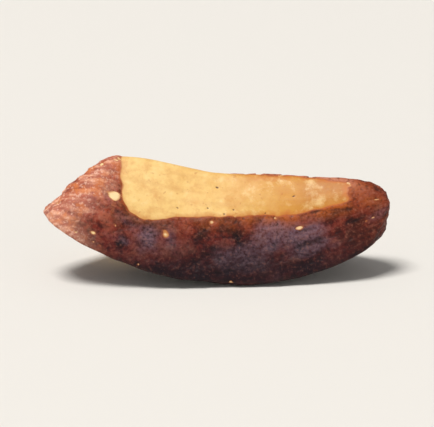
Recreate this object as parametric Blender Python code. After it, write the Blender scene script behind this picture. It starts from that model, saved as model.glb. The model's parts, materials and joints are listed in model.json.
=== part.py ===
"""A shelled Brazil nut kernel, lying on its broad outer face with its sharp inner ridge up.

The kernel grew as one piece, so it is one solid: a long wedge of three soft-edged sides, bent like
a shallow boat, with a chisel-shaped tip at one end and a blunt butt at the other. Its thin brown seed
skin stands proud of the flesh by a fraction of a millimetre, and ends in torn edges where it has been
rubbed away. Units are metres, +Z is up, and the origin is under the middle of the kernel.
"""

import math

import bmesh
import bpy
import numpy as np

NAME = "kernel"
COLLECTION = "brazil_nut"

# Whole length, and the small flat spot's depth: how much of the round underside is pressed flat
LENGTH = 0.036
FLAT_DEPTH = 0.00036

# Faces along and around, and the long ball whose evenly spread points are pushed out to the kernel
ALONG = 76
AROUND = 60
SPREAD = (LENGTH / 2, 0.0072, 0.0062)

# The sides of the kernel before it is bent: the way each one faces, and its distance from the middle
SIDES = {
    "outer_face": ((-0.12, 0.0, -1.0), 0.0032),
    "near_flank": ((0.045, -0.90, 0.40), 0.0042),
    "far_flank": ((0.035, 0.88, 0.47), 0.0050),
    "rubbed_side": ((0.01, -0.65, 0.72), 0.0048),
    "tip_bevel": ((-0.66, -0.255, 0.69), 0.01215),
    "tip_far": ((-0.68, 0.70, 0.22), 0.0108),
    "tip_near": ((-0.52, -0.85, 0.0), 0.01285),
    "tip_end": ((-0.90, -0.05, 0.47), 0.0163),
    "butt_end": ((1.0, 0.0, -0.05), 0.0184),
    "butt_top": ((0.54, 0.0, 0.82), 0.0133),
    "butt_near": ((0.80, -0.60, -0.20), 0.0170),
    "butt_far": ((0.74, 0.67, 0.0), 0.0152),
}
EDGE_SHARPNESS = 11.0

# How the straight wedge is shaped: it narrows away from BARREL_MIDDLE, its underside is crowned from
# side to side, and it is bent up away from LOW_MIDDLE, each by the square of the distance
BARREL = 860.0
BARREL_MIDDLE = -0.0051
CROWN = 9.5
BEND = 12.8
LOW_MIDDLE = 0.0005

# Broad swells of the flesh: height, length, how many around, and where they start along and around
SWELL = 0.00016
SWELL_LENGTH = 0.0125
SWELLS_AROUND = 3
SWELL_START = (1.3, 0.6)

# The seed skin: height, width of its sloping torn edge, low wrinkles that wander, and slanting grain
SKIN_RAISED = 0.00028
SKIN_EDGE = 0.00030
WRINKLE = 0.00008
WRINKLES_AROUND = 15
WRINKLE_LENGTH = 0.0090
WRINKLE_WANDER = 1.7
GRAIN = 0.00004
GRAIN_LENGTH = 0.0027
GRAIN_SLANT = 0.7

# Swells and wrinkles fade out towards the ends: distance from the middle, and length of the fade
END_FADE = (0.0148, 0.0060)

# Places where the skin is rubbed away: middle along, middle around in degrees (0 is the far side, 90
# is up), half length, half width, how much wider the tip end is, degrees it leans, and its squareness
RUBBED = (
    (0.0025, 91.0, 0.0114, 0.0028, 0.08, -1.5, 4.0),
    (-0.0033, 110.0, 0.0054, 0.0026, 0.35, -10.0, 2.4),
    (0.0080, -28.0, 0.0066, 0.0018, 0.25, 10.0, 2.4),
    (-0.0088, -31.0, 0.0034, 0.0013, -0.20, -8.0, 2.6),
)
MEAN_RADIUS = 0.0060
HELD_BEYOND = 1.2
INNER_OVAL = 0.3

# Waves that make the torn edges wander: height, length along, and how many around
TEAR_WAVES = (
    (0.00013, 0.00125, 2.0),
    (0.00009, 0.00074, -5.0),
    (0.00006, 0.00210, 9.0),
)

# Points within this share of their spacing from a torn edge are moved onto it; the step is for
# measuring which way the edge lies
SLIDE = 0.56
SLOPE_STEP = 0.004

SKIN_COLOUR = (0.115, 0.028, 0.016, 1.0)
FLESH_COLOUR = (0.78, 0.51, 0.21, 1.0)
SKIN_ROUGHNESS = 0.55
FLESH_ROUGHNESS = 0.45


def remove_scene_objects():
    """Clear whatever the open file holds."""
    for scene_object in list(bpy.data.objects):
        bpy.data.objects.remove(scene_object, do_unlink=True)


def make_material(name, colour, roughness):
    """A plain coloured surface."""
    material = bpy.data.materials.new(name)
    material.use_nodes = True
    shader = material.node_tree.nodes["Principled BSDF"]
    shader.inputs["Base Color"].default_value = colour
    shader.inputs["Roughness"].default_value = roughness
    shader.inputs["Metallic"].default_value = 0.0
    material.diffuse_color = colour
    return material


def read_directions(mesh_bm):
    """The unit sphere's points, laid along X and stretched so that they spread evenly on a kernel."""
    sphere = np.array([vertex.co[:] for vertex in mesh_bm.verts])
    stretched = sphere[:, (2, 0, 1)] * np.array(SPREAD)
    return stretched / np.linalg.norm(stretched, axis=1, keepdims=True)


def wedge_radius(directions):
    """Distance from the middle to the wedge: a high power sum of the sides rounds the edges softly."""
    total = np.zeros(len(directions))
    for facing, distance in SIDES.values():
        unit = np.array(facing) / np.linalg.norm(facing)
        total += np.maximum(0.0, directions @ unit / distance) ** EDGE_SHARPNESS
    return total ** (-1.0 / EDGE_SHARPNESS)


def place_on_wedge(directions):
    """Distance along the kernel, angle around it, and distance out from its middle line."""
    radius = wedge_radius(directions)
    along = directions[:, 0] * radius
    around = np.arctan2(directions[:, 2], directions[:, 1])
    return along, around, radius * np.hypot(directions[:, 1], directions[:, 2])


def patch_distance(along, around, patch):
    """Distance outside a rubbed place, which is a squarish oval that is wider towards one end.

    The oval's value, less one, divided by its own steepness is close to the distance from its rim.
    """
    middle, turn, half_length, half_width, taper, lean, squareness = patch
    lengthwise = (along - middle) / half_length
    held = np.clip(lengthwise, -HELD_BEYOND, HELD_BEYOND)
    sideways = around - np.radians(turn + lean * held)
    sideways = np.arctan2(np.sin(sideways), np.cos(sideways)) * MEAN_RADIUS
    width = half_width * (1.0 - taper * held)
    powers = np.abs(lengthwise) ** squareness + np.abs(sideways / width) ** squareness
    oval = np.maximum(powers ** (1.0 / squareness), INNER_OVAL)
    steep_along = (np.abs(lengthwise) / oval) ** (squareness - 1.0) / half_length
    steep_around = (np.abs(sideways / width) / oval) ** (squareness - 1.0) / width
    return (oval - 1.0) / np.hypot(steep_along, steep_around)


def skin_cover(directions):
    """Distance inside the skin from its nearest torn edge; it is negative where the flesh is bare."""
    along, around, _ = place_on_wedge(directions)
    cover = np.min([patch_distance(along, around, patch) for patch in RUBBED], axis=0)
    for height, length, turns in TEAR_WAVES:
        cover = cover + height * np.sin(along / length + turns * around)
    return cover


def point_spacing(mesh_bm, directions):
    """Mean distance on the unit sphere from each point to the points that it shares an edge with."""
    spacing = []
    for vertex in mesh_bm.verts:
        others = [edge.other_vert(vertex).index for edge in vertex.link_edges]
        spans = np.linalg.norm(directions[others] - directions[vertex.index], axis=1)
        spacing.append(spans.mean())
    return np.array(spacing)


def slide_to_edges(directions, spacing):
    """Move the points nearest a torn edge onto it, down the slope of the cover, so the edge is clean."""
    cover = skin_cover(directions)
    slope = np.zeros_like(directions)
    for axis in range(3):
        shift = np.zeros(3)
        shift[axis] = SLOPE_STEP
        ahead = skin_cover(directions + shift)
        behind = skin_cover(directions - shift)
        slope[:, axis] = (ahead - behind) / (2.0 * SLOPE_STEP)
    steepness = np.linalg.norm(slope, axis=1)
    near = np.abs(cover) < SLIDE * spacing * steepness
    moved = directions - slope * (cover * near / steepness ** 2)[:, None]
    return moved / np.linalg.norm(moved, axis=1, keepdims=True)


def smooth_step(value):
    """0 below 0, 1 above 1, and an even curve between."""
    held = np.clip(value, 0.0, 1.0)
    return held * held * (3.0 - 2.0 * held)


def broad_swells(along, around):
    """Low swells of the flesh, in rows along and around the kernel."""
    lengthwise = np.sin(along / SWELL_LENGTH * 2.0 * math.pi + SWELL_START[0])
    return SWELL * lengthwise * np.sin(SWELLS_AROUND * around + SWELL_START[1])


def skin_wrinkles(along, around):
    """Low lengthwise wrinkles that wander from side to side."""
    wander = WRINKLE_WANDER * np.sin(along / WRINKLE_LENGTH * 2.0 * math.pi)
    return WRINKLE * np.sin(WRINKLES_AROUND * around + wander)


def skin_grain(along, around, outward):
    """Two crossing sets of slanting waves, measured straight through the kernel."""
    wave = 2.0 * math.pi / GRAIN_LENGTH
    across = outward * np.cos(around)
    up = outward * np.sin(around)
    slant = GRAIN_SLANT * along
    return GRAIN * np.sin(wave * (across + slant)) * np.sin(wave * (up - slant))


def surface_lift(directions):
    """What stands on the wedge: broad swells, and the skin with its wrinkles and grain.

    What follows the angle around the kernel fades out at the two ends, where the angles crowd together.
    """
    along, around, outward = place_on_wedge(directions)
    fade = smooth_step((END_FADE[0] - np.abs(along)) / END_FADE[1])
    covered = smooth_step(skin_cover(directions) / SKIN_EDGE)
    skin = SKIN_RAISED + skin_wrinkles(along, around) * fade + skin_grain(along, around, outward)
    return broad_swells(along, around) * fade + covered * skin


def kernel_points(directions):
    """The kernel's surface: the wedge and what stands on it, barrelled, crowned below and bent."""
    radius = wedge_radius(directions) + surface_lift(directions)
    x, y, z = (directions * radius[:, None]).T
    narrowing = 1.0 - BARREL * (x - BARREL_MIDDLE) ** 2
    y = y * narrowing
    z = z * narrowing
    lower = np.clip(-z / SIDES["outer_face"][1], 0.0, 1.0)
    z = z + CROWN * y ** 2 * lower
    x = (x - x.min()) / (x.max() - x.min()) * LENGTH - LENGTH / 2
    z = z + BEND * (x - LOW_MIDDLE) ** 2
    return np.stack((x, y, z), axis=1)


def assign_materials(mesh):
    """Give the bare faces the flesh material; the rest keep the skin's."""
    mesh.materials.append(make_material("seed_skin", SKIN_COLOUR, SKIN_ROUGHNESS))
    mesh.materials.append(make_material("bare_flesh", FLESH_COLOUR, FLESH_ROUGHNESS))
    for face in mesh.polygons:
        face.material_index = 1 if face.select else 0


def make_kernel(collection):
    """Shape a UV sphere into the kernel; what would dip below the surface it lies on is flat there."""
    mesh_bm = bmesh.new()
    bmesh.ops.create_uvsphere(mesh_bm, u_segments=AROUND, v_segments=ALONG, radius=1.0)
    directions = read_directions(mesh_bm)
    directions = slide_to_edges(directions, point_spacing(mesh_bm, directions))
    points = kernel_points(directions)
    points[:, 1] -= (points[:, 1].min() + points[:, 1].max()) / 2
    points[:, 2] -= points[:, 2].min() + FLAT_DEPTH
    points[:, 2] = np.maximum(points[:, 2], 0.0)
    cover = skin_cover(directions)
    for vertex, place in zip(mesh_bm.verts, points):
        vertex.co = place
    for face in mesh_bm.faces:
        face.select = bool(np.mean([cover[vertex.index] for vertex in face.verts]) < 0.0)
    bmesh.ops.recalc_face_normals(mesh_bm, faces=list(mesh_bm.faces))
    mesh = bpy.data.meshes.new(NAME)
    mesh_bm.to_mesh(mesh)
    mesh_bm.free()
    assign_materials(mesh)
    mesh.shade_smooth()
    kernel = bpy.data.objects.new(NAME, mesh)
    collection.objects.link(kernel)
    return kernel


def main():
    remove_scene_objects()
    collection = bpy.data.collections.new(COLLECTION)
    bpy.context.scene.collection.children.link(collection)
    make_kernel(collection)


main()
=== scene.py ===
# %% [markdown]
# A shelled Brazil nut kernel
#
# The kernel is the seed that is left when its woody shell is cracked off. It is a long wedge with three
# soft ridges, bent like a shallow boat, and it wears a thin red-brown skin. Tumbling has rubbed the skin
# off along the ridges, so that the waxy cream flesh shows. This lesson builds that finish as real
# surfaces around a plain solid of the same kernel, which fixes its size and place.

# %% Load the frame
import json
import math

import bpy
import numpy as np
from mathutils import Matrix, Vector

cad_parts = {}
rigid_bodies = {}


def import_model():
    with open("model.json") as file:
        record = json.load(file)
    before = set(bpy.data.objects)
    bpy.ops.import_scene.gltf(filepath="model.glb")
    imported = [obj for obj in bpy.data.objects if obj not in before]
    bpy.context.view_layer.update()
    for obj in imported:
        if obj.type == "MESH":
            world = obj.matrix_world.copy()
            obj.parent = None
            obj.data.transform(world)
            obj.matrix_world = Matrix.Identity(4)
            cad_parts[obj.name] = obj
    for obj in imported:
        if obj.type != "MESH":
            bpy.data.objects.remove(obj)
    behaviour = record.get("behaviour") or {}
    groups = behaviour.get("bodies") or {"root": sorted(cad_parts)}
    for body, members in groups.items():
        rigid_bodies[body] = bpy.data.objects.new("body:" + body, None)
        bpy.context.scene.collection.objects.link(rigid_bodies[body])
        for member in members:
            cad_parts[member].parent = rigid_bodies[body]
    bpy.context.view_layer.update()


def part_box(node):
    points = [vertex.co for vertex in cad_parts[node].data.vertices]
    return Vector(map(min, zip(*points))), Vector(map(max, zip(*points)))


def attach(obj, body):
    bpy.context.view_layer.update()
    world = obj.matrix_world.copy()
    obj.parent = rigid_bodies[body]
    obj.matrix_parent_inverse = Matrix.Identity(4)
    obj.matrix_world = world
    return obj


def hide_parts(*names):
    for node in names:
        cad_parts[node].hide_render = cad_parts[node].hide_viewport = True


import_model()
box_low, box_high = (np.array(corner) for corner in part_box("kernel"))
print("solid kernel in mm:", np.round((box_high - box_low) * 1000, 2))

# %% [markdown]
# The kernel's plan
#
# Before it is bent, the kernel is a wedge with straight sides. Each side is a plane, given by the way it
# faces and its distance from the middle. Four long sides make the section: the broad outer face, two
# flanks, and a narrow side where the ridge has been rubbed flat. The others trim the pointed tip and the
# blunt butt. A kernel could be sculpted by eye, but planes keep the flats and ridges of a real one. These
# are the solid's own values, so the finished surface lies where the solid is.

# %% Sides and proportions
LENGTH = box_high[0] - box_low[0]
# Each side: the way it faces, and its distance from the middle
SIDES = {
    "outer_face": ((-0.12, 0.0, -1.0), 0.0032),
    "near_flank": ((0.045, -0.90, 0.40), 0.0042),
    "far_flank": ((0.035, 0.88, 0.47), 0.0050),
    "rubbed_side": ((0.01, -0.65, 0.72), 0.0048),
    "tip_bevel": ((-0.66, -0.255, 0.69), 0.01215),
    "tip_far": ((-0.68, 0.70, 0.22), 0.0108),
    "tip_near": ((-0.52, -0.85, 0.0), 0.01285),
    "tip_end": ((-0.90, -0.05, 0.47), 0.0163),
    "butt_end": ((1.0, 0.0, -0.05), 0.0184),
    "butt_top": ((0.54, 0.0, 0.82), 0.0133),
    "butt_near": ((0.80, -0.60, -0.20), 0.0170),
    "butt_far": ((0.74, 0.67, 0.0), 0.0152),
}
EDGE_SHARPNESS = 11.0
BARREL = 860.0
BARREL_MIDDLE = -0.0051
CROWN = 9.5
BEND = 12.8
LOW_MIDDLE = 0.0005
FLAT_DEPTH = 0.00036
print("wedge of", len(SIDES), "sides,", round(LENGTH * 1000, 2), "mm long")

# %% [markdown]
# A grid of directions
#
# Every surface here is a distance out from the middle for each direction, so all that a surface needs is
# one grid of directions. The rows run from tip to butt and the columns run round. Directions read from a
# plain sphere would crowd the middle of such a long body. They are read from a long ellipsoid instead,
# with its rows spaced evenly along its outline, so the small squares are nearly the same size all over.

# %% Directions
ROWS = 328
COLUMNS = 304
SPREAD = (0.0180, 0.0072, 0.0062)
FINE_STEPS = 4000


def even_angles(rows):
    """Angles from pole to pole whose steps along an ellipse with the kernel's outline are equal."""
    fine = np.linspace(0.0, math.pi, FINE_STEPS)
    steps = np.hypot(np.diff(SPREAD[0] * np.cos(fine)), np.diff(SPREAD[1] * np.sin(fine)))
    travelled = np.concatenate(([0.0], np.cumsum(steps)))
    return np.interp(np.linspace(0.0, travelled[-1], rows + 1), travelled, fine)


def grid_directions(rows, columns):
    """Unit vectors to the points of an ellipsoid: rings from -X to +X, then the two poles."""
    from_tip = even_angles(rows)[1:-1, None]
    round_it = np.linspace(0.0, 2.0 * math.pi, columns, endpoint=False)[None, :]
    ring = np.stack(
        (
            -SPREAD[0] * np.cos(from_tip) * np.ones_like(round_it),
            SPREAD[1] * np.sin(from_tip) * np.cos(round_it),
            SPREAD[2] * np.sin(from_tip) * np.sin(round_it),
        ),
        axis=-1,
    ).reshape(-1, 3)
    poles = np.array(((-1.0, 0.0, 0.0), (1.0, 0.0, 0.0)))
    points = np.concatenate((ring, poles))
    return points / np.linalg.norm(points, axis=1, keepdims=True)


directions = grid_directions(ROWS, COLUMNS)
print(len(directions), "directions,", 2 * COLUMNS * (ROWS - 1), "triangles a piece")

# %% [markdown]
# The wedge
#
# The distance to a plane in some direction is easy: the plane's distance divided by how squarely the
# direction meets it. The nearest plane would give a hard-edged block. Adding the inverse distances at a
# high power and taking the root gives nearly the same block with every edge rounded, and the power says
# how sharp the edges are.

# %% Wedge and places on it


def side_pull(name):
    """How strongly one side pulls the surface in, in each direction: the inverse of its distance."""
    facing, distance = SIDES[name]
    unit = np.array(facing) / np.linalg.norm(facing)
    return np.maximum(0.0, directions @ unit / distance)


def wedge_radius():
    """Distance out to the rounded wedge: the power sum of all the sides' pulls, turned over."""
    total = sum(side_pull(name) ** EDGE_SHARPNESS for name in SIDES)
    return total ** (-1.0 / EDGE_SHARPNESS)


def smooth_step(value):
    """0 below 0, 1 above 1, and an even curve between."""
    held = np.clip(value, 0.0, 1.0)
    return held * held * (3.0 - 2.0 * held)


radius = wedge_radius()
along = directions[:, 0] * radius
around = np.arctan2(directions[:, 2], directions[:, 1])
places = directions * radius[:, None]
print("wedge radius from", round(radius.min() * 1000, 2), "to", round(radius.max() * 1000, 2), "mm")

# %% [markdown]
# Ridges and the tip's bevel
#
# Real kernels wear where they stick out, so later steps need to know where the ridges are. On a flat
# side, one plane does nearly all the pulling. On a ridge, two planes share it, and the radius times the
# strongest pull drops below one. The slanting bevel of the tip is found in the same way, from the pull
# of its own planes. Ridges could be marked by hand, but the planes know exactly where they are.

# %% Ridge and bevel shares
RIDGE_STARTS = 0.985
RIDGE_SPAN = 0.045
BEVEL_STARTS = 0.77
BEVEL_SPAN = 0.19
BEVEL_SIDES = ("tip_bevel", "tip_end", "tip_near")

strongest = np.max([side_pull(name) for name in SIDES], axis=0)
ridge = smooth_step((RIDGE_STARTS - radius * strongest) / RIDGE_SPAN)
bevel_pull = np.max([side_pull(name) for name in BEVEL_SIDES], axis=0)
bevel = smooth_step((bevel_pull * radius - BEVEL_STARTS) / BEVEL_SPAN)
print("ridges on", round(ridge.mean() * 100), "% and the bevel on", round(bevel.mean() * 100), "%")

# %% [markdown]
# Noise
#
# Nature needs unevenness of every size. This noise puts a random number on each corner of a lattice of
# cubes and blends the eight corners round a point with a smooth step. The lattice can be stretched, so
# the same function gives round grains or long fibres, and it is turned, so its rows don't line up with
# the kernel. Layers of it, each half the size and strength of the last, look like worn natural surfaces.
# Blender's own noise for scripts takes one point at a time. This one takes all the points at once.

# %% Lattice noise
LATTICE = 64


def noise(points, sizes, seed):
    """Smooth noise from -1 to 1: eight corner numbers of a point's lattice cube, blended by smooth steps."""
    random = np.random.default_rng(seed)
    corners = random.uniform(-1.0, 1.0, (LATTICE, LATTICE, LATTICE))
    turn = np.linalg.qr(random.normal(size=(3, 3)))[0]
    scaled = (points / sizes) @ turn
    cell = np.floor(scaled).astype(int)
    share = smooth_step(scaled - cell)
    total = np.zeros(len(points))
    for corner in np.ndindex(2, 2, 2):
        weight = np.prod(np.where(corner, share, 1.0 - share), axis=1)
        index = (cell + corner) % LATTICE
        total += weight * corners[index[:, 0], index[:, 1], index[:, 2]]
    return total


def layered_noise(points, sizes, seed, layers=3):
    """Layers of noise, each with half the size and half the height of the one before."""
    total = np.zeros(len(points))
    for layer in range(layers):
        total += noise(points, np.array(sizes, float) / 2 ** layer, seed + layer) / 2 ** layer
    return total


print("noise reads a lattice of", LATTICE ** 3, "numbers, which repeats after", LATTICE, "cubes")

# %% [markdown]
# Where the skin is torn
#
# The skin is missing in a few long patches where the kernel was rubbed. The largest lies along the inner
# ridge, deepest near the tip end, and three overlapping patches make it. Each patch is a squarish oval in
# the distance along and the angle around. Its value, less one, over its own steepness is close to the
# distance from its rim. Where patches meet, a soft minimum, minus the logarithm of a sum of exponentials,
# rounds the corner between them. Sines make the rim wander, finer noise frays it, and beyond the ridge
# and on the lower ridge a broader noise makes it more ragged. Outlines could be cut out of the skin
# instead, but a distance can also thin the skin and stain the flesh near the tear.

# %% Rubbed patches
# Each patch: its middle along, its turn, half length, half width, taper, lean, and how square it is
RUBBED = (
    (0.0027, 102.6, 0.01135, 0.0026, 0.22, 2.2, 9.0),
    (-0.0034, 84.0, 0.0053, 0.0021, 0.10, 0.0, 4.2),
    (-0.0032, 110.0, 0.0052, 0.0026, 0.35, -10.0, 2.4),
    (0.0080, -28.0, 0.0066, 0.0018, 0.25, 10.0, 2.4),
    (-0.0088, -31.0, 0.0034, 0.0013, -0.20, -8.0, 2.6),
)
MEAN_RADIUS = 0.0060
HELD_BEYOND = 1.2
INNER_OVAL = 0.3
# Each wave of the rim: its height, the distance along for one radian of it, and its turns round
TEAR_WAVES = (
    (0.00013, 0.00125, 2.0),
    (0.00009, 0.00074, -5.0),
    (0.00006, 0.00210, 9.0),
)
FRAY = 0.00018
FRAY_SIZE = 0.00085
MEETING = 0.00030
RAGGED = 0.00045
RAGGED_SIZE = 0.0032
RAGGED_TURN = 92.0
RAGGED_SPAN = 14.0


def patch_distance(middle, turn, half_length, half_width, taper, lean, squareness):
    """Distance outside one rubbed patch, from an oval in lengthwise and sideways shares."""
    lengthwise = (along - middle) / half_length
    held = np.clip(lengthwise, -HELD_BEYOND, HELD_BEYOND)
    sideways = around - np.radians(turn + lean * held)
    sideways = np.arctan2(np.sin(sideways), np.cos(sideways)) * MEAN_RADIUS
    width = half_width * (1.0 - taper * held)
    powers = np.abs(lengthwise) ** squareness + np.abs(sideways / width) ** squareness
    oval = np.maximum(powers ** (1.0 / squareness), INNER_OVAL)
    steep_along = (np.abs(lengthwise) / oval) ** (squareness - 1.0) / half_length
    steep_around = (np.abs(sideways / width) / oval) ** (squareness - 1.0) / width
    return (oval - 1.0) / np.hypot(steep_along, steep_around)


patches = np.array([patch_distance(*patch) for patch in RUBBED])
tear = -MEETING * np.logaddexp.reduce(-patches / MEETING, axis=0)
for height, length, turns in TEAR_WAVES:
    tear = tear + height * np.sin(along / length + turns * around)
tear = tear + FRAY * layered_noise(places, FRAY_SIZE, seed=21, layers=2)
beyond = smooth_step((RAGGED_TURN - np.degrees(around)) / RAGGED_SPAN)
tear = tear + RAGGED * beyond * layered_noise(places, RAGGED_SIZE, seed=23, layers=2)
print("bare flesh on", round(float(np.mean(tear < 0.0)) * 100, 1), "% of the grid")

# %% [markdown]
# Chips in the skin
#
# Around the torn edges and on the ridges, small scales of skin have come off. They are islands where a
# layered noise is high, and the level that it has to reach is lower near a tear or on a ridge, so the
# islands crowd there. The height over the level, times the size of the noise, is again a distance. They
# could all be set by hand, but noise scatters them without a pattern. Only a few chips in view have a
# place of their own: each is a ragged spot round the nearest point of the grid. These placed chips also
# stand for small pale glints on the flank, and their pale flesh is partly a painted glint.

# %% Islands of bare flesh
CHIP_SIZE = 0.0010
CHIP_LEVEL = 1.22
CHIPS_AT_TEAR = 0.50
CHIPS_ON_RIDGE = 0.22
CHIPS_ON_BEVEL = 0.16
TEAR_REACH = 0.0013
# the placed chips stand partly for small pale glints: painted glints
# Each placed chip: its distance along, its turn and its size
PLACED_CHIPS = (
    (-0.00945, 122.5, 0.00046),
    (-0.00443, 158.8, 0.00025),
    (0.00024, 136.6, 0.00018),
    (0.00900, 153.0, 0.00024),
    (-0.01154, 177.7, 0.00018),
    (0.01375, 93.0, 0.00040),
)
CHIP_RAGGED = 0.00020
CHIP_RAGS = 0.00045
CHIP_LONG = 1.25
FRESH_AND_GLINT_RIM = 0.00014


def nearest_place(lengthwise, turn):
    """The grid point nearest a distance along and an angle around."""
    sideways = np.arctan2(np.sin(around - np.radians(turn)), np.cos(around - np.radians(turn)))
    return places[np.argmin(np.hypot(along - lengthwise, sideways * MEAN_RADIUS))]


def placed_chip(lengthwise, turn, size):
    """Distance outside a spot round the grid point nearest that place, longer along than around."""
    away = (places - nearest_place(lengthwise, turn)) / (CHIP_LONG, 1.0, 1.0)
    return np.linalg.norm(away, axis=1) - size


tear_near = smooth_step(1.0 - np.abs(tear) / TEAR_REACH)
level = CHIP_LEVEL - CHIPS_AT_TEAR * tear_near - CHIPS_ON_RIDGE * ridge - CHIPS_ON_BEVEL * bevel
chips = CHIP_SIZE * (level - layered_noise(places, CHIP_SIZE, seed=61))
spots = np.min([placed_chip(*chip) for chip in PLACED_CHIPS], axis=0)
spots = spots + CHIP_RAGGED * layered_noise(places, CHIP_RAGS, seed=64, layers=1)
chips = np.minimum(chips, spots)
cover = np.minimum(tear, chips)
# pale flesh inside the chips: partly fresh flesh, partly painted glints
fresh_and_glint = smooth_step(-chips / FRESH_AND_GLINT_RIM) * smooth_step(tear / FRESH_AND_GLINT_RIM)
print("with chips, bare flesh on", round(float(np.mean(cover < 0.0)) * 100, 1), "% of the grid")

# %% [markdown]
# The flesh
#
# Bare flesh is smooth and waxy, like hard wax candle. Broad swells keep it from looking machined, very
# fine lengthwise lines show how it was rubbed, and there are a few dark pinholes. A bump in the finish
# could imitate all this, but real relief also shows in the mesh itself. So the pinholes are dimples,
# pressed in at random places, and the same numbers later tint them.

# %% Flesh relief
SWELL = 0.00016
SWELL_LENGTH = 0.0125
SWELLS_AROUND = 3
SWELL_START = (1.3, 0.6)
END_FADE = (0.0148, 0.0060)
PINHOLES = 80
PINHOLE_SIZES = (0.00010, 0.00020)
PINHOLE_LONGEST = 1.7
PINHOLE_DEPTH = 0.00012
FLESH_WAVE = 0.00004
FLESH_WAVE_SIZE = 0.0019
FLESH_LINES = 0.000014
LINE_SIZES = (0.0050, 0.0006, 0.0006)


def press_pinholes(count, seed):
    """1 in the middle of a pinhole, 0 outside them all: a bowl, round or drawn out lengthwise, at each."""
    random = np.random.default_rng(seed)
    chosen = places[random.integers(0, len(places), count)]
    sizes = random.uniform(*PINHOLE_SIZES, count)
    lengths = random.uniform(1.0, PINHOLE_LONGEST, count)
    depth = np.zeros(len(places))
    for centre, size, longer in zip(chosen, sizes, lengths):
        away = np.linalg.norm((places - centre) / (longer, 1.0, 1.0), axis=1) / size
        depth = np.maximum(depth, smooth_step(1.0 - away))
    return depth


end_fade = smooth_step((END_FADE[0] - np.abs(along)) / END_FADE[1])
swell = SWELL * np.sin(along / SWELL_LENGTH * 2.0 * math.pi + SWELL_START[0])
swell = swell * np.sin(SWELLS_AROUND * around + SWELL_START[1]) * end_fade
pinhole = press_pinholes(PINHOLES, seed=31)
lines = layered_noise(places, LINE_SIZES, seed=34)
flesh_lift = swell + FLESH_WAVE * layered_noise(places, FLESH_WAVE_SIZE, seed=37, layers=2)
flesh_lift += FLESH_LINES * lines - PINHOLE_DEPTH * pinhole
print("flesh relief up to", round(float(np.ptp(flesh_lift)) * 1000, 2), "mm")

# %% [markdown]
# The skin
#
# The skin stands about a quarter of a millimetre above the flesh and thins towards its torn edges, where
# it has a faint bead. It has long low wrinkles, creases that run lengthwise, thin raised veins, and a
# grain like dried leather with small pits. On the bevel of the tip it is rougher, with fibres that run
# down its slope to the tip. For those, the places are first turned into the bevel's own directions: down
# its slope, across it, and out of it. The same noise, long in the first, then gives slanting fibres. How
# far each point stands out in all this, its crest, is kept for the finish, which paints shade into the
# hollows and partly paints highlights onto the crests. Like the flesh's, this relief could be a bump, but
# in the mesh it breaks up the outline too.

# %% Skin relief
WRINKLE = 0.00008
WRINKLES_AROUND = 15
WRINKLE_LENGTH = 0.0090
WRINKLE_WANDER = 1.7
CREASE = 0.00007
CREASE_SIZES = (0.0045, 0.0012, 0.0012)
CREASE_SHARPNESS = 2.5
VEIN = 0.00005
VEIN_SIZES = (0.0080, 0.0016, 0.0016)
VEIN_SHARPNESS = 4.0
GRAIN = 0.00005
GRAIN_SIZE = 0.00075
BILLOW = 0.00005
BILLOW_SIZE = 0.0026
PIT = 0.00006
PIT_SIZE = 0.00085
PIT_LEVEL = 0.45
FIBRE = 0.00005
FIBRE_SIZES = (0.0013, 0.00036, 0.0008)
# Shares of the crease, grain, wrinkle, vein and pit in the crest
CREST_SHARES = (0.45, 0.5, 0.25, 0.4, -0.5)


def bevel_places():
    """Places in the bevel's own directions: down its slope towards the tip, across, and outwards."""
    outwards = np.array(SIDES["tip_bevel"][0]) / np.linalg.norm(SIDES["tip_bevel"][0])
    down = np.array((-1.0, 0.0, 0.0)) + outwards[0] * outwards
    down = down / np.linalg.norm(down)
    return places @ np.stack((down, np.cross(outwards, down), outwards), axis=1)


wander = WRINKLE_WANDER * np.sin(along / WRINKLE_LENGTH * 2.0 * math.pi)
wrinkle = np.sin(WRINKLES_AROUND * around + wander) * end_fade
crease = 1.0 - CREASE_SHARPNESS * np.abs(layered_noise(places, CREASE_SIZES, seed=41))
vein = np.abs(layered_noise(places, VEIN_SIZES, seed=53, layers=2))
vein = smooth_step(1.0 - VEIN_SHARPNESS * vein)
grain = layered_noise(places, GRAIN_SIZE, seed=44, layers=2)
pit = layered_noise(places, PIT_SIZE, seed=56, layers=2)
pit = smooth_step((pit - PIT_LEVEL) / (1.0 - PIT_LEVEL))
fibre = layered_noise(bevel_places(), FIBRE_SIZES, seed=47, layers=2)
billow = layered_noise(places, BILLOW_SIZE, seed=50, layers=2)
relief = WRINKLE * wrinkle + CREASE * crease + VEIN * vein + GRAIN * grain - PIT * pit
relief += BILLOW * billow + FIBRE * fibre * bevel
crest = sum(share * part for share, part in zip(CREST_SHARES, (crease, grain, wrinkle, vein, pit)))
print("skin relief from", round(relief.min() * 1000, 2), "to", round(relief.max() * 1000, 2), "mm")

# %% [markdown]
# The torn edge
#
# A hard step in height would follow the grid's squares and look like saw teeth. So the skin is one closed
# surface that crosses the flesh: at its edge it climbs out of the flesh at an even slope, levels off at
# its own thickness, and where it has been rubbed away it runs just under the flesh. The torn edge is then
# the true crossing line of two surfaces, and stays clean however near the camera comes. The levelling is
# an exponential: thickness times one less e to the minus climb over thickness. Along the crest of the
# inner ridge a slim rim of skin is left, worn thin and pale, and its share is kept for the finish.

# %% Skin height
THIN_SKIN = 0.00012
FULL_SKIN = 0.00028
THICKENS_OVER = 0.0016
TORN_STEEPNESS = 1.1
SKIN_DIVE = 0.00026
BEAD = 0.00005
BEAD_PLACE = 0.00026
BEAD_WIDTH = 0.00018
LEAST_SKIN = 0.00007
RELIEF_AT_TEAR = 0.35
RIM_REACH = 0.0013
RIM_TURN = 104.0
RIM_SPAN = 16.0

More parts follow.
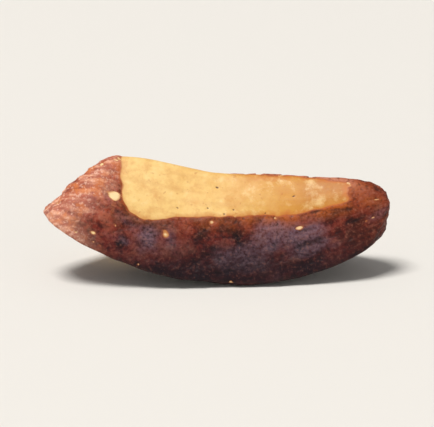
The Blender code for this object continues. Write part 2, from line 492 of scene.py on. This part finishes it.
from_edge = smooth_step(cover / THICKENS_OVER)
bead = BEAD * np.exp(-((cover - BEAD_PLACE) / BEAD_WIDTH) ** 2)
thickness = THIN_SKIN + (FULL_SKIN - THIN_SKIN) * from_edge + bead
thickness = thickness + relief * (RELIEF_AT_TEAR + (1.0 - RELIEF_AT_TEAR) * from_edge)
thickness = np.maximum(thickness, LEAST_SKIN)
rim = ridge * smooth_step((RIM_REACH - tear) / RIM_REACH) * smooth_step(along / RIM_REACH + 1.0)
rim = rim * smooth_step((RIM_TURN - np.degrees(around)) / RIM_SPAN)
climb = TORN_STEEPNESS * cover
under = np.maximum(climb, -SKIN_DIVE)
over = thickness * (1.0 - np.exp(-np.maximum(climb, 0.0) / thickness))
skin_lift = swell + np.where(cover > 0.0, over, under)
print("skin stands up to", round(thickness.max() * 1000, 2), "mm proud")

# %% [markdown]
# Where the skin is dusty, and a sheen is painted
#
# Seed skin has a dull, purplish bloom in places, most of all on the flank, where nothing has rubbed it.
# The same dusty purple also stands for a painted sheen, a purple-grey reflection on the flank. A layered
# noise says where, and near chosen places on the flank it counts for more. It keeps a little way off the
# tears. An even tint would be simpler, but real bloom is patchy.

# %% Bloom
BLOOM_AND_SHEEN_SIZE = 0.0034
BLOOM_AND_SHEEN_LEVEL = 0.30
BLOOM_AND_SHEEN_SPAN = 0.75
BLOOM_AND_SHEEN_OFF_TEAR = 0.0003
BLOOM_AND_SHEEN_RETURNS = 0.0012
# places on the flank where the dusty purple, partly a painted sheen, is made stronger
# Each chosen place: its distance along, its turn, how far it reaches and what it adds
BLOOM_AND_SHEEN_PLACES = (
    (0.0056, 158.0, 0.0072, 0.85),
    (0.0108, 172.0, 0.0044, 0.60),
    (0.0012, 168.0, 0.0040, 0.50),
    (-0.0062, 156.0, 0.0056, 0.85),
)

# partly a dusty bloom, partly a painted purple sheen
bloom_and_sheen = layered_noise(places, BLOOM_AND_SHEEN_SIZE, seed=71)
for lengthwise, turn, reach, extra in BLOOM_AND_SHEEN_PLACES:
    away = np.linalg.norm(places - nearest_place(lengthwise, turn), axis=1)
    bloom_and_sheen = bloom_and_sheen + extra * smooth_step(1.0 - away / reach)
bloom_and_sheen = smooth_step((bloom_and_sheen - BLOOM_AND_SHEEN_LEVEL) / BLOOM_AND_SHEEN_SPAN)
bloom_and_sheen = bloom_and_sheen * smooth_step((tear - BLOOM_AND_SHEEN_OFF_TEAR) / BLOOM_AND_SHEEN_RETURNS)
print("bloom on", round(float(bloom_and_sheen.mean()) * 100), "% of the skin")

# %% [markdown]
# Bending the wedge into a kernel
#
# The straight wedge is drawn in towards its ends like a barrel, its underside is crowned, and it is bent
# like a boat by lifting each point with the square of its distance along. Both surfaces go through the
# same steps, with the skin giving the placing, so they stay together. What would dip below the surface
# that the kernel lies on is flat there: that is its small resting spot, and the flesh stops a skin's
# thickness above it. Last, both are fitted to the solid's box, which changes them by about a hundredth.
# A bend modifier could do part of this, but the solid was bent by these formulas, so they fit it.

# %% Bend and place
FLESH_ABOVE_SPOT = 0.00015


def bend(lift):
    """Points of a lifted wedge, narrowed by a parabola along it, crowned below and bent by another."""
    x, y, z = (directions * (radius + lift)[:, None]).T
    narrowing = 1.0 - BARREL * (x - BARREL_MIDDLE) ** 2
    y = y * narrowing
    z = z * narrowing
    lower = np.clip(-z / SIDES["outer_face"][1], 0.0, 1.0)
    z = z + CROWN * y ** 2 * lower
    x = (x - skin_ends[0]) / (skin_ends[1] - skin_ends[0]) * LENGTH - LENGTH / 2
    return np.stack((x, y, z + BEND * (x - LOW_MIDDLE) ** 2), axis=1)


def seat(points, lowest):
    """Drop points to the skin's resting height, fit them to the box, and press them flat from below."""
    seated = (points - drop) * fit
    seated[:, 2] = np.maximum(seated[:, 2], lowest)
    return seated


skin_x = directions[:, 0] * (radius + skin_lift)
skin_ends = (skin_x.min(), skin_x.max())
skin_points = bend(skin_lift)
low, high = skin_points.min(axis=0), skin_points.max(axis=0)
drop = np.array((0.0, (low[1] + high[1]) / 2, low[2] + FLAT_DEPTH))
fit = (box_high - box_low) / (high - low - (0.0, 0.0, FLAT_DEPTH))
skin_points = seat(skin_points, 0.0)
flesh_points = seat(bend(flesh_lift), FLESH_ABOVE_SPOT)
print("fitted by", np.round(fit, 4), "to", np.round(np.ptp(skin_points, axis=0) * 1000, 2), "mm")

# %% [markdown]
# From points to pieces
#
# The grid becomes a mesh once, as a list of quads that wrap round and close on a point at each pole. The
# numbers that the finishes need, such as the cover, go along as attributes of the points, because a
# pattern that follows the tear can't be drawn from plain coordinates.

# %% Make the two pieces


def grid_faces(rows, columns):
    """Quads between neighbouring rings, wrapped round, and a fan of triangles at each pole."""
    rings = rows - 1
    index = np.arange(rings * columns).reshape(rings, columns)
    following = np.roll(index, -1, axis=1)
    quads = np.stack((index[:-1], index[1:], following[1:], following[:-1]), axis=-1).reshape(-1, 4)
    tip = np.full(columns, rings * columns)
    tip_fan = np.stack((tip, index[0], following[0]), axis=-1)
    butt_fan = np.stack((tip + 1, following[-1], index[-1]), axis=-1)
    return quads.tolist() + tip_fan.tolist() + butt_fan.tolist()


def make_piece(name, points, attributes):
    """A smooth-shaded mesh object at the origin, with a number on each point for each attribute."""
    mesh = bpy.data.meshes.new(name)
    mesh.from_pydata(points.tolist(), [], faces)
    for label, values in attributes.items():
        layer = mesh.attributes.new(label, "FLOAT", "POINT")
        layer.data.foreach_set("value", values.astype(np.float32))
    mesh.shade_smooth()
    piece = bpy.data.objects.new(name, mesh)
    bpy.context.scene.collection.objects.link(piece)
    return piece


faces = grid_faces(ROWS, COLUMNS)
kernel_flesh = make_piece("kernel_flesh", flesh_points, {
    "tear": cover * 1000.0,
    "fresh_and_glint": fresh_and_glint,
    "pinhole": pinhole,
    "lines": lines,
})
kernel_skin = make_piece("kernel_skin", skin_points, {
    "tear": tear * 1000.0,
    "chips": chips * 1000.0,
    "crest": crest,
    "fibre": fibre,
    "bloom_and_sheen": bloom_and_sheen,
    "rim": rim,
    "bevel": bevel,
    "ridge": ridge,
})
for piece in (kernel_flesh, kernel_skin):
    print(piece.name, len(piece.data.polygons), "faces")

# %% [markdown]
# Colours for the finishes
#
# Each finish is a small graph of nodes. It could be wired up node by node, but that would bury the finish
# in detail, so a few helpers keep it short. The first adds a node and fills its inputs. The others turn a
# screen colour to the shader's numbers, and add a colour ramp or a blend of two colours.

# %% Colour helpers


def add_node(tree, kind, inputs, **settings):
    """Add a node with its settings, and fill inputs, by name or number, with values or other outputs."""
    node = tree.nodes.new(kind)
    for key, value in settings.items():
        setattr(node, key, value)
    for key, value in inputs.items():
        if isinstance(value, bpy.types.NodeSocket):
            tree.links.new(value, node.inputs[key])
        else:
            node.inputs[key].default_value = value
    return node


def shade(red, green, blue):
    """A screen colour in bytes, turned to the linear numbers that the shader mixes."""
    share = np.array((red, green, blue)) / 255.0
    return (*np.where(share <= 0.04045, share / 12.92, ((share + 0.055) / 1.055) ** 2.4), 1.0)


def ramp(tree, factor, stops):
    """A colour ramp through (place, colour) stops."""
    node = add_node(tree, "ShaderNodeValToRGB", {"Fac": factor})
    elements = node.color_ramp.elements
    while len(elements) < len(stops):
        elements.new(0.5)
    for element, (place, colour) in zip(elements, stops):
        element.position = place
        element.color = colour
    return node.outputs["Color"]


def blend(tree, share, first, second):
    """The first colour, passing into the second as the share goes from 0 to 1."""
    node = add_node(tree, "ShaderNodeMix", {}, data_type="RGBA")
    for index, value in ((0, share), (6, first), (7, second)):
        if isinstance(value, bpy.types.NodeSocket):
            tree.links.new(value, node.inputs[index])
        else:
            node.inputs[index].default_value = value
    return node.outputs[2]


print("half grey is", round(float(shade(128, 128, 128)[0]), 3), "to the shader")

# %% [markdown]
# Patterns for the finishes
#
# Where a coat of colour goes is a number at each place: a noise, a coordinate or something that the mesh
# carries. A painted mask could say it as well, but a pattern that is worked out has no pixels to show.
# These helpers read such numbers, change their range, and combine them.

# %% Pattern helpers


def reshape(tree, value, low, high, new_low=0.0, new_high=1.0):
    """Map a number from one range to another, held at the ends."""
    ranges = {"Value": value, "From Min": low, "From Max": high, "To Min": new_low, "To Max": new_high}
    return add_node(tree, "ShaderNodeMapRange", ranges).outputs["Result"]


def calculate(tree, operation, *values):
    """One step of arithmetic on numbers or outputs."""
    return add_node(tree, "ShaderNodeMath", dict(enumerate(values)), operation=operation).outputs[0]


def product(tree, first, *others):
    """The first number times all the others."""
    for other in others:
        first = calculate(tree, "MULTIPLY", first, other)
    return first


def texture(tree, vector, size, detail=4.0, roughness=0.6):
    """Noise texture whose features are about the given size in metres."""
    inputs = {"Vector": vector, "Scale": 1.0 / size, "Detail": detail, "Roughness": roughness}
    return add_node(tree, "ShaderNodeTexNoise", inputs).outputs["Fac"]


def carried(tree, name):
    """A number that the mesh carries on its points."""
    return add_node(tree, "ShaderNodeAttribute", {}, attribute_name=name).outputs["Fac"]


for piece in (kernel_flesh, kernel_skin):
    layers = piece.data.attributes
    print(piece.name, "carries", [layer.name for layer in layers if layer.data_type == "FLOAT"])

# %% [markdown]
# What both finishes share
#
# Flesh and skin could each mix several shaders, but one Principled shader can be waxy or leathery by its
# numbers alone. One helper starts such a finish, and the other links what was made to its shader.

# %% Start and end of a finish


def start_finish(name):
    """A new material with only a Principled shader: the material, its tree, the shader, and place."""
    material = bpy.data.materials.new(name)
    material.use_nodes = True
    tree = material.node_tree
    place = add_node(tree, "ShaderNodeTexCoord", {}).outputs["Object"]
    return material, tree, tree.nodes["Principled BSDF"], place


def end_finish(tree, shader, base, roughness, height, strength, distance):
    """Link a finish to its shader: colour, roughness, and a bump of the given strength and distance."""
    bump = {"Height": height, "Strength": strength, "Distance": distance}
    normal = add_node(tree, "ShaderNodeBump", bump).outputs["Normal"]
    for socket, value in (("Base Color", base), ("Roughness", roughness), ("Normal", normal)):
        tree.links.new(value, shader.inputs[socket])


print("one helper starts a finish and one ends it")

# %% [markdown]
# Flesh finish
#
# Flesh goes from pale cream at the tip end to gold and tan at the butt end. Fine mottling breaks it up,
# and faint lines and specks are a little darker. It could be one image wrapped round the kernel, but
# patterns worked out from each place stay sharp however near the camera comes, and need no unwrapping.
# Most coats are given by four numbers: two values of a pattern, and the coat's share at each of them.

# %% Flesh ground
FLESH_ENDS = (-0.010, 0.0150)
FLESH_DRIFT_SIZE = 0.0050
FLESH_DRIFT = 0.7
FLESH_SPAN = (0.30, 1.30)
FLESH_COLOURS = (
    (0.0, shade(240, 203, 132)),
    (0.40, shade(235, 194, 120)),
    (0.68, shade(210, 150, 62)),
    (1.0, shade(182, 112, 38)),
)
MOTTLE = (0.0015, 5.0, 0.65)
SPECKS = (0.00040, 2.0, 0.5)
TAN_MOTTLE, TAN = (0.50, 0.70, 0.0, 0.56), shade(206, 142, 70)
PALE_MOTTLE, PALE_CREAM = (0.48, 0.32, 0.0, 0.52), shade(248, 219, 160)
DARK_LINES, LINE_TAN = (0.2, 0.9, 0.0, 0.28), shade(208, 152, 84)
DARK_SPECKS, SPECK_BROWN = (0.64, 0.74, 0.0, 0.45), shade(186, 116, 58)


def flesh_ground(tree, place, x, mottle, specks):
    """Cream to tan along the kernel, drifting unevenly, with mottling, lines and specks."""
    drift = texture(tree, place, FLESH_DRIFT_SIZE)
    share = calculate(tree, "MULTIPLY_ADD", drift, FLESH_DRIFT, reshape(tree, x, *FLESH_ENDS))
    base = ramp(tree, reshape(tree, share, *FLESH_SPAN), FLESH_COLOURS)
    base = blend(tree, reshape(tree, mottle, *TAN_MOTTLE), base, TAN)
    base = blend(tree, reshape(tree, mottle, *PALE_MOTTLE), base, PALE_CREAM)
    base = blend(tree, reshape(tree, carried(tree, "lines"), *DARK_LINES), base, LINE_TAN)
    return blend(tree, reshape(tree, specks, *DARK_SPECKS), base, SPECK_BROWN)


print("flesh has", len(FLESH_COLOURS), "main colours")

# %% [markdown]
# Flesh near the skin, and its gloss
#
# A rusty stain follows the torn edge of the skin and is strongest at the butt end. Where a chip has just
# come off, the flesh is pale, partly as fresh flesh and partly as a painted glint, and the pinholes are
# dark brown. All this could be painted on, but the mesh carries its distance from the tear and each
# pinhole's depth, so the colours always meet the shapes. Flesh has a waxy gloss, and a little light goes
# into it.

# %% Flesh material
STAIN_ALONG = (-0.006, 0.010, 0.30, 1.0)
STAIN_MOTTLE = 1.2
STAIN_REACH = (-0.10, 0.55)
STAIN = shade(196, 112, 44)
BRINK_REACH, BRINK_BROWN = (-0.13, 0.0, 0.0, 0.75), shade(170, 92, 46)
# fresh cream, partly a painted glint
FRESH_AND_GLINT_SHARE, FRESH_AND_GLINT_CREAM = 0.8, shade(248, 220, 172)
HOLE_DEPTHS, HOLE_BROWN = (0.15, 0.60), shade(92, 50, 26)
FLESH_ROUGHNESS = (0.3, 0.7, 0.34, 0.54)
FLESH_GLOSS = 0.35
SPECK_BUMP = 0.4
FLESH_BUMP = (0.35, 0.00008)
LIGHT_WITHIN = 0.07
LIGHT_REACH = (1.0, 0.5, 0.2)
LIGHT_SCALE = 0.0010


def flesh_finish():
    """The flesh's ground, a stain and a brown brink at the skin, fresh chips that are partly painted glints,
    pinholes, and a waxy gloss.
    """
    material, tree, shader, place = start_finish("waxy_flesh")
    x = add_node(tree, "ShaderNodeSeparateXYZ", {"Vector": place}).outputs["X"]
    mottle = texture(tree, place, *MOTTLE)
    specks = texture(tree, place, *SPECKS)
    base = flesh_ground(tree, place, x, mottle, specks)
    tear_mm = carried(tree, "tear")
    reach = calculate(tree, "MULTIPLY_ADD", mottle, STAIN_MOTTLE, tear_mm)
    stain = product(tree, reshape(tree, reach, *STAIN_REACH), reshape(tree, x, *STAIN_ALONG))
    base = blend(tree, stain, base, STAIN)
    base = blend(tree, reshape(tree, tear_mm, *BRINK_REACH), base, BRINK_BROWN)
    # pale chips, partly painted glints
    base = blend(tree, product(tree, carried(tree, "fresh_and_glint"), FRESH_AND_GLINT_SHARE), base, FRESH_AND_GLINT_CREAM)
    base = blend(tree, reshape(tree, carried(tree, "pinhole"), *HOLE_DEPTHS), base, HOLE_BROWN)
    height = calculate(tree, "MULTIPLY_ADD", specks, SPECK_BUMP, mottle)
    end_finish(tree, shader, base, reshape(tree, mottle, *FLESH_ROUGHNESS), height, *FLESH_BUMP)
    shader.inputs["Specular IOR Level"].default_value = FLESH_GLOSS
    shader.inputs["Subsurface Weight"].default_value = LIGHT_WITHIN
    shader.inputs["Subsurface Radius"].default_value = LIGHT_REACH
    shader.inputs["Subsurface Scale"].default_value = LIGHT_SCALE
    return material


kernel_flesh.data.materials.append(flesh_finish())
print("flesh finished with", len(kernel_flesh.data.materials[0].node_tree.nodes), "nodes")

# %% [markdown]
# Skin colours
#
# The skin is dark red-brown in soft clouds, with a dusty purple on the flanks that is partly bloom and
# partly a painted sheen. It is rusty where it is thin: towards its torn edges, and most of all towards
# the butt, whose end is a deep brown. Coats of colour laid over each other, as a painter would, are easier
# to judge one by one than a single mix.

# %% Skin ground
SKIN_CLOUDS = (0.0026, 6.0, 0.68)
SKIN_GRAIN = (0.00034, 3.0, 0.60)
SKIN_PATCHES = (0.0015, 5.0, 0.65)
SKIN_COLOURS = (
    (0.37, shade(32, 9, 8)),
    (0.46, shade(82, 24, 17)),
    (0.54, shade(132, 45, 31)),
    (0.65, shade(172, 84, 60)),
)
# purple-grey of the bloom and of the painted sheen
BLOOM_AND_SHEEN_GRAINS, BLOOM_AND_SHEEN_PURPLE = (0.36, 0.58, 0.42, 0.96), shade(132, 102, 116)
RUST_FROM_TEAR = (0.3, 3.1, 1.0, 0.0)
RUST_ALONG = (-0.006, 0.008, 0.25, 1.0)
RUST_PATCHES = (0.34, 0.58, 0.25, 1.0)
RUST_SHARE, RUST = 0.95, shade(192, 94, 26)
BUTT_REACH = (0.0100, 0.0165)
BUTT_SHARE, BUTT_BROWN = 0.68, shade(108, 40, 14)


def skin_ground(tree, x, clouding, grain, patchy):
    """Clouded browns, dusty purple where there is bloom and painted sheen, rusty near the tears, deep brown
    at the butt.
    """
    base = ramp(tree, clouding, SKIN_COLOURS)
    bloom_and_sheen_share = product(tree, carried(tree, "bloom_and_sheen"), reshape(tree, grain, *BLOOM_AND_SHEEN_GRAINS))
    # dusty purple: partly bloom, partly a painted sheen
    base = blend(tree, bloom_and_sheen_share, base, BLOOM_AND_SHEEN_PURPLE)
    thin = product(
        tree,
        reshape(tree, carried(tree, "tear"), *RUST_FROM_TEAR),
        reshape(tree, x, *RUST_ALONG),
        reshape(tree, patchy, *RUST_PATCHES),
        RUST_SHARE,
    )
    base = blend(tree, thin, base, RUST)
    return blend(tree, product(tree, reshape(tree, x, *BUTT_REACH), BUTT_SHARE), base, BUTT_BROWN)


print("skin has", len(SKIN_COLOURS), "main colours")

# %% [markdown]
# Wear and shade on the skin
#
# Creases get painted shade, nearly black, and crests are paler, partly scuffed and partly a painted
# highlight. Ridges are worn in patches, and the slim rim along the inner ridge is worn to a pale pink, both
# less so at the butt. Towards the bottom the skin is much darker, with an uneven upper limit: painted
# shade on the belly. Dark grains lie over all this, and a few pale specks, partly tan crumbs of skin and
# partly painted glints on its grain, fewer low down. Wear could be read from the curves of the finished
# mesh, but the ridge, rim and crest are known already, and the mesh carries them.

# %% Skin wear
# painted shade: creases are darkened by how far the relief sinks there
CREASE_SHADE_DEPTHS, CREASE_SHADE_BLACK = (0.0, -0.80, 0.0, 0.75), shade(22, 8, 9)
# crests paler: partly scuffed skin, partly a painted highlight
SCUFF_AND_HIGHLIGHT, SCUFF_AND_HIGHLIGHT_TAN = (0.40, 1.10, 0.0, 0.42), shade(164, 102, 84)
LESS_AT_BUTT = (0.0115, 0.0150, 1.0, 0.3)
WORN_PATCHES, WORN_TAN = (0.50, 0.62, 0.0, 0.55), shade(176, 106, 72)
RIM_GRAINS, RIM_PINK = (0.40, 0.56, 0.45, 0.90), shade(208, 146, 120)
# painted shade: the skin darkens towards the bottom, with a wandering upper limit
BELLY_SHADE_WANDER = -0.0040
BELLY_SHADE_REACH, BELLY_SHADE_BLACK = (0.0058, 0.0, 0.0, 0.90), shade(20, 9, 20)
DARK_GRAINS, GRAIN_BLACK = (0.48, 0.32, 0.0, 0.55), shade(24, 8, 9)
# pale specks on the grain: partly tan crumbs of skin, partly painted glints, fewer low down
CRUMB_AND_GLINT_GRAINS = (0.54, 0.70)
CRUMB_AND_GLINT_HEIGHTS, CRUMB_AND_GLINT_TAN = (0.0, 0.0050, 0.14, 0.38), shade(166, 104, 84)


def wear_skin(tree, base, axes, clouding, grain, patchy):
    """Painted shade in creases and on the belly, crests and crumbs paler partly by painted highlights, worn
    ridges, a pale rim, dark grains.
    """
    crest_height = carried(tree, "crest")
    # painted shade in the creases
    base = blend(tree, reshape(tree, crest_height, *CREASE_SHADE_DEPTHS), base, CREASE_SHADE_BLACK)
    # paler crests, partly a painted highlight
    base = blend(tree, reshape(tree, crest_height, *SCUFF_AND_HIGHLIGHT), base, SCUFF_AND_HIGHLIGHT_TAN)
    less = reshape(tree, axes["X"], *LESS_AT_BUTT)
    worn = product(tree, carried(tree, "ridge"), reshape(tree, patchy, *WORN_PATCHES), less)
    base = blend(tree, worn, base, WORN_TAN)
    pale_rim = product(tree, carried(tree, "rim"), reshape(tree, grain, *RIM_GRAINS), less)
    base = blend(tree, pale_rim, base, RIM_PINK)
    belly = calculate(tree, "MULTIPLY_ADD", clouding, BELLY_SHADE_WANDER, axes["Z"])
    # painted shade towards the bottom
    base = blend(tree, reshape(tree, belly, *BELLY_SHADE_REACH), base, BELLY_SHADE_BLACK)
    base = blend(tree, reshape(tree, grain, *DARK_GRAINS), base, GRAIN_BLACK)
    # pale specks, partly painted glints on the grain
    crumbs_and_glints = product(tree, reshape(tree, grain, *CRUMB_AND_GLINT_GRAINS), reshape(tree, belly, *CRUMB_AND_GLINT_HEIGHTS))
    return blend(tree, crumbs_and_glints, base, CRUMB_AND_GLINT_TAN)


# where the painted shade on the belly ends
belly_shade_ends = BELLY_SHADE_REACH[0] - BELLY_SHADE_WANDER * 0.5
print("at mid noise the dark belly fades out", round(belly_shade_ends * 1000, 1), "mm up")

# %% [markdown]
# Skin on the bevel
#
# On the bevel of the tip the skin is rough and reddish. Its raised fibres are pinkish tan, partly a painted
# highlight, and the gaps between them are darkened with painted shade. It has orange patches and pale
# flecks, the flecks partly painted glints, and it is a little paler low down. It could be a second
# material on faces of its own, but its border would then be hard and follow the grid.

# %% Bevel colours
REDDISH_SHARE, REDDISH = 0.75, shade(192, 110, 84)
RAISED_FIBRES = (-0.1, 0.6)
# raised fibres paler: partly their own pinkish tan, partly a painted highlight
RAISED_GRAINS, FIBRE_AND_HIGHLIGHT_PINK = (0.40, 0.60, 0.35, 0.90), shade(244, 186, 154)
# painted shade in the gaps between the fibres
SUNK_FIBRES = (-0.3, -0.9)
SUNK_SHADE_SHARE, FIBRE_GAP_SHADE = 0.7, shade(120, 52, 38)
ORANGE_PATCHES, ORANGE = (0.50, 0.62, 0.0, 0.75), shade(208, 118, 60)
FLECKS = (0.00036, 2.0, 0.6)
# pale flecks: partly the skin's own, partly painted glints
FLECK_LEVELS, FLECK_AND_GLINT_PINK = (0.52, 0.70, 0.0, 0.6), shade(250, 206, 184)
# the bevel is paler towards the bottom
LOW_PALE_HEIGHTS, LOW_PALE = (0.0090, 0.0065, 0.0, 0.16), shade(250, 200, 182)


def colour_bevel(tree, base, place, z, grain, patchy):
    """The bevel's coats, each times the bevel's own share, so that they fade out together at its edge."""
    bevel_share = carried(tree, "bevel")
    fibres = carried(tree, "fibre")
    flecks = texture(tree, place, *FLECKS)
    # partly a painted highlight on the raised fibres
    raised_and_highlit = product(tree, reshape(tree, fibres, *RAISED_FIBRES), bevel_share)
    raised_and_highlit = product(tree, raised_and_highlit, reshape(tree, grain, *RAISED_GRAINS))
    coats = (
        (product(tree, bevel_share, REDDISH_SHARE), REDDISH),
        (raised_and_highlit, FIBRE_AND_HIGHLIGHT_PINK),
        # painted shade between the fibres
        (product(tree, reshape(tree, fibres, *SUNK_FIBRES), bevel_share, SUNK_SHADE_SHARE), FIBRE_GAP_SHADE),
        (product(tree, reshape(tree, patchy, *ORANGE_PATCHES), bevel_share), ORANGE),
        # flecks, partly painted glints
        (product(tree, reshape(tree, flecks, *FLECK_LEVELS), bevel_share), FLECK_AND_GLINT_PINK),
        # paler lower down
        (product(tree, reshape(tree, z, *LOW_PALE_HEIGHTS), bevel_share), LOW_PALE),
    )
    for share, colour in coats:
        base = blend(tree, share, base, colour)
    return base


print("bevel fibres are about", round(FIBRE_SIZES[1] * 1000, 2), "mm across")

# %% [markdown]
# The whole skin
#
# The coats go on in order. Last come a tan line along the torn edges and round the chips, where the skin
# is thinnest, and a dull, leathery sheen. One long function could hold it all, but in parts each coat can
# be found and changed by itself.

# %% Skin material
TEAR_LINE, TEAR_TAN = (0.02, 0.22, 0.60, 0.0), shade(178, 92, 46)
CHIP_LINE, CHIP_TAN = (0.0, 0.14, 0.55, 0.0), shade(176, 100, 62)
SKIN_ROUGHNESS = (0.3, 0.7, 0.40, 0.62)
SKIN_GLOSS = 0.2
PATCH_BUMP = 2.0
SKIN_BUMP = (0.7, 0.00012)


def skin_finish():
    """The skin's ground, its wear, the bevel's colours and tan lines at its edges, with a dull sheen."""
    material, tree, shader, place = start_finish("seed_skin")
    axes = add_node(tree, "ShaderNodeSeparateXYZ", {"Vector": place}).outputs
    clouding = texture(tree, place, *SKIN_CLOUDS)
    fine_grain = texture(tree, place, *SKIN_GRAIN)
    patchy = texture(tree, place, *SKIN_PATCHES)
    base = skin_ground(tree, axes["X"], clouding, fine_grain, patchy)
    base = wear_skin(tree, base, axes, clouding, fine_grain, patchy)
    base = colour_bevel(tree, base, place, axes["Z"], fine_grain, patchy)
    base = blend(tree, reshape(tree, carried(tree, "tear"), *TEAR_LINE), base, TEAR_TAN)
    base = blend(tree, reshape(tree, carried(tree, "chips"), *CHIP_LINE), base, CHIP_TAN)
    height = calculate(tree, "MULTIPLY_ADD", patchy, PATCH_BUMP, fine_grain)
    end_finish(tree, shader, base, reshape(tree, fine_grain, *SKIN_ROUGHNESS), height, *SKIN_BUMP)
    shader.inputs["Specular IOR Level"].default_value = SKIN_GLOSS
    return material


kernel_skin.data.materials.append(skin_finish())
print("skin finished with", len(kernel_skin.data.materials[0].node_tree.nodes), "nodes")

# %% [markdown]
# Joining the frame
#
# Both pieces ride on the one body and stand for its one solid, which is hidden. They could be parented
# by hand, but this call also keeps each piece where it is.

# %% Ride on the body
for piece in (kernel_flesh, kernel_skin):
    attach(piece, "root")
    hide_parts("kernel")
print("pieces on the body:", kernel_flesh.name, kernel_skin.name)

# %% [markdown]
# Floor, light and camera
#
# The kernel lies on a plain pale floor under soft light. A flat square would do for the floor from above,
# but from low down its far edge would show, so it curves up all round. The main light is above and a
# little to the left, so the rubbed side is bright and the flank below it falls into shade. The camera
# looks at the flank from slightly above, and rather far off with a long lens, as close views of small
# things do.

# %% Floor and backdrop
FLAT_RADIUS = 1.1
CURVE_RADIUS = 0.4
CURVE_STEPS = 16
ROUND_STEPS = 96
FLOOR_DROP = 0.00001
FLOOR_GREY = shade(226, 224, 220)
FLOOR_ROUGHNESS = 0.9


def make_floor():
    """A wide pale dish: flat out to FLAT_RADIUS, then a quarter circle up, turned round the middle."""
    climb = np.linspace(0.0, math.pi / 2.0, CURVE_STEPS)
    out = np.concatenate(([0.0], FLAT_RADIUS + CURVE_RADIUS * np.sin(climb)))[:, None]
    up = np.concatenate(([0.0], CURVE_RADIUS * (1.0 - np.cos(climb))))[:, None]
    turn = np.linspace(0.0, 2.0 * math.pi, ROUND_STEPS, endpoint=False)[None, :]
    points = np.stack((out * np.cos(turn), out * np.sin(turn), up + 0.0 * turn - FLOOR_DROP), axis=-1)
    index = np.arange(points.shape[0] * ROUND_STEPS).reshape(-1, ROUND_STEPS)
    following = np.roll(index, -1, axis=1)
    quads = np.stack((index[:-1], index[1:], following[1:], following[:-1]), axis=-1).reshape(-1, 4)
    mesh = bpy.data.meshes.new("floor")
    mesh.from_pydata(points.reshape(-1, 3).tolist(), [], quads.tolist())
    mesh.shade_smooth()
    material = bpy.data.materials.new("pale_floor")
    material.use_nodes = True
    shader = material.node_tree.nodes["Principled BSDF"]
    shader.inputs["Base Color"].default_value = FLOOR_GREY
    shader.inputs["Roughness"].default_value = FLOOR_ROUGHNESS
    mesh.materials.append(material)
    floor = bpy.data.objects.new("floor", mesh)
    bpy.context.scene.collection.objects.link(floor)


make_floor()
print("floor flat to", FLAT_RADIUS, "m and then curving up by", CURVE_RADIUS, "m")

# %% Light
SKY = (1.0, 0.985, 0.965, 1.0)
SKY_STRENGTH = 0.24
# Each lamp: its name, place, width, power in watts and colour
LAMPS = (
    ("main", (-0.8, -0.6, 3.2), 1.2, 110.0, (1.0, 0.97, 0.93)),
    ("fill", (1.0, -1.0, 0.48), 0.8, 1.3, (0.93, 0.96, 1.0)),
)


def add_lamp(name, place, size, power, colour):
    """A square area light that faces the kernel."""
    light = bpy.data.lights.new(name, "AREA")
    light.size = size
    light.energy = power
    light.color = colour
    lamp = bpy.data.objects.new(name, light)
    lamp.location = place
    lamp.rotation_euler = (-Vector(place)).to_track_quat("-Z", "Y").to_euler()
    bpy.context.scene.collection.objects.link(lamp)


def light_room():
    """An even pale sky all round."""
    world = bpy.data.worlds.new("pale_room")
    world.use_nodes = True
    background = world.node_tree.nodes["Background"]
    background.inputs["Color"].default_value = SKY
    background.inputs["Strength"].default_value = SKY_STRENGTH
    bpy.context.scene.world = world


light_room()
for lamp_values in LAMPS:
    add_lamp(*lamp_values)
bpy.context.scene.view_settings.view_transform = "Standard"
print(len(LAMPS), "lamps and a pale room")

# %% Camera
SEEN_WIDTH = 0.0455
LENS = 200.0
ELEVATION = 18.0
NEAREST_SEEN = 0.01


def make_camera():
    """Far enough off along the view that SEEN_WIDTH fills the image at the kernel's middle."""
    data = bpy.data.cameras.new("camera")
    data.lens = LENS
    data.clip_start = NEAREST_SEEN
    camera = bpy.data.objects.new("camera", data)
    bpy.context.scene.collection.objects.link(camera)
    bpy.context.scene.camera = camera
    middle = Vector((box_low + box_high) / 2)
    lean = math.radians(ELEVATION)
    back = Vector((0.0, -math.cos(lean), math.sin(lean)))
    camera.location = middle + back * (SEEN_WIDTH * LENS / data.sensor_width)
    camera.rotation_euler = (-back).to_track_quat("-Z", "Y").to_euler()


make_camera()
print("camera sees", SEEN_WIDTH * 1000, "mm across, from", ELEVATION, "degrees up")
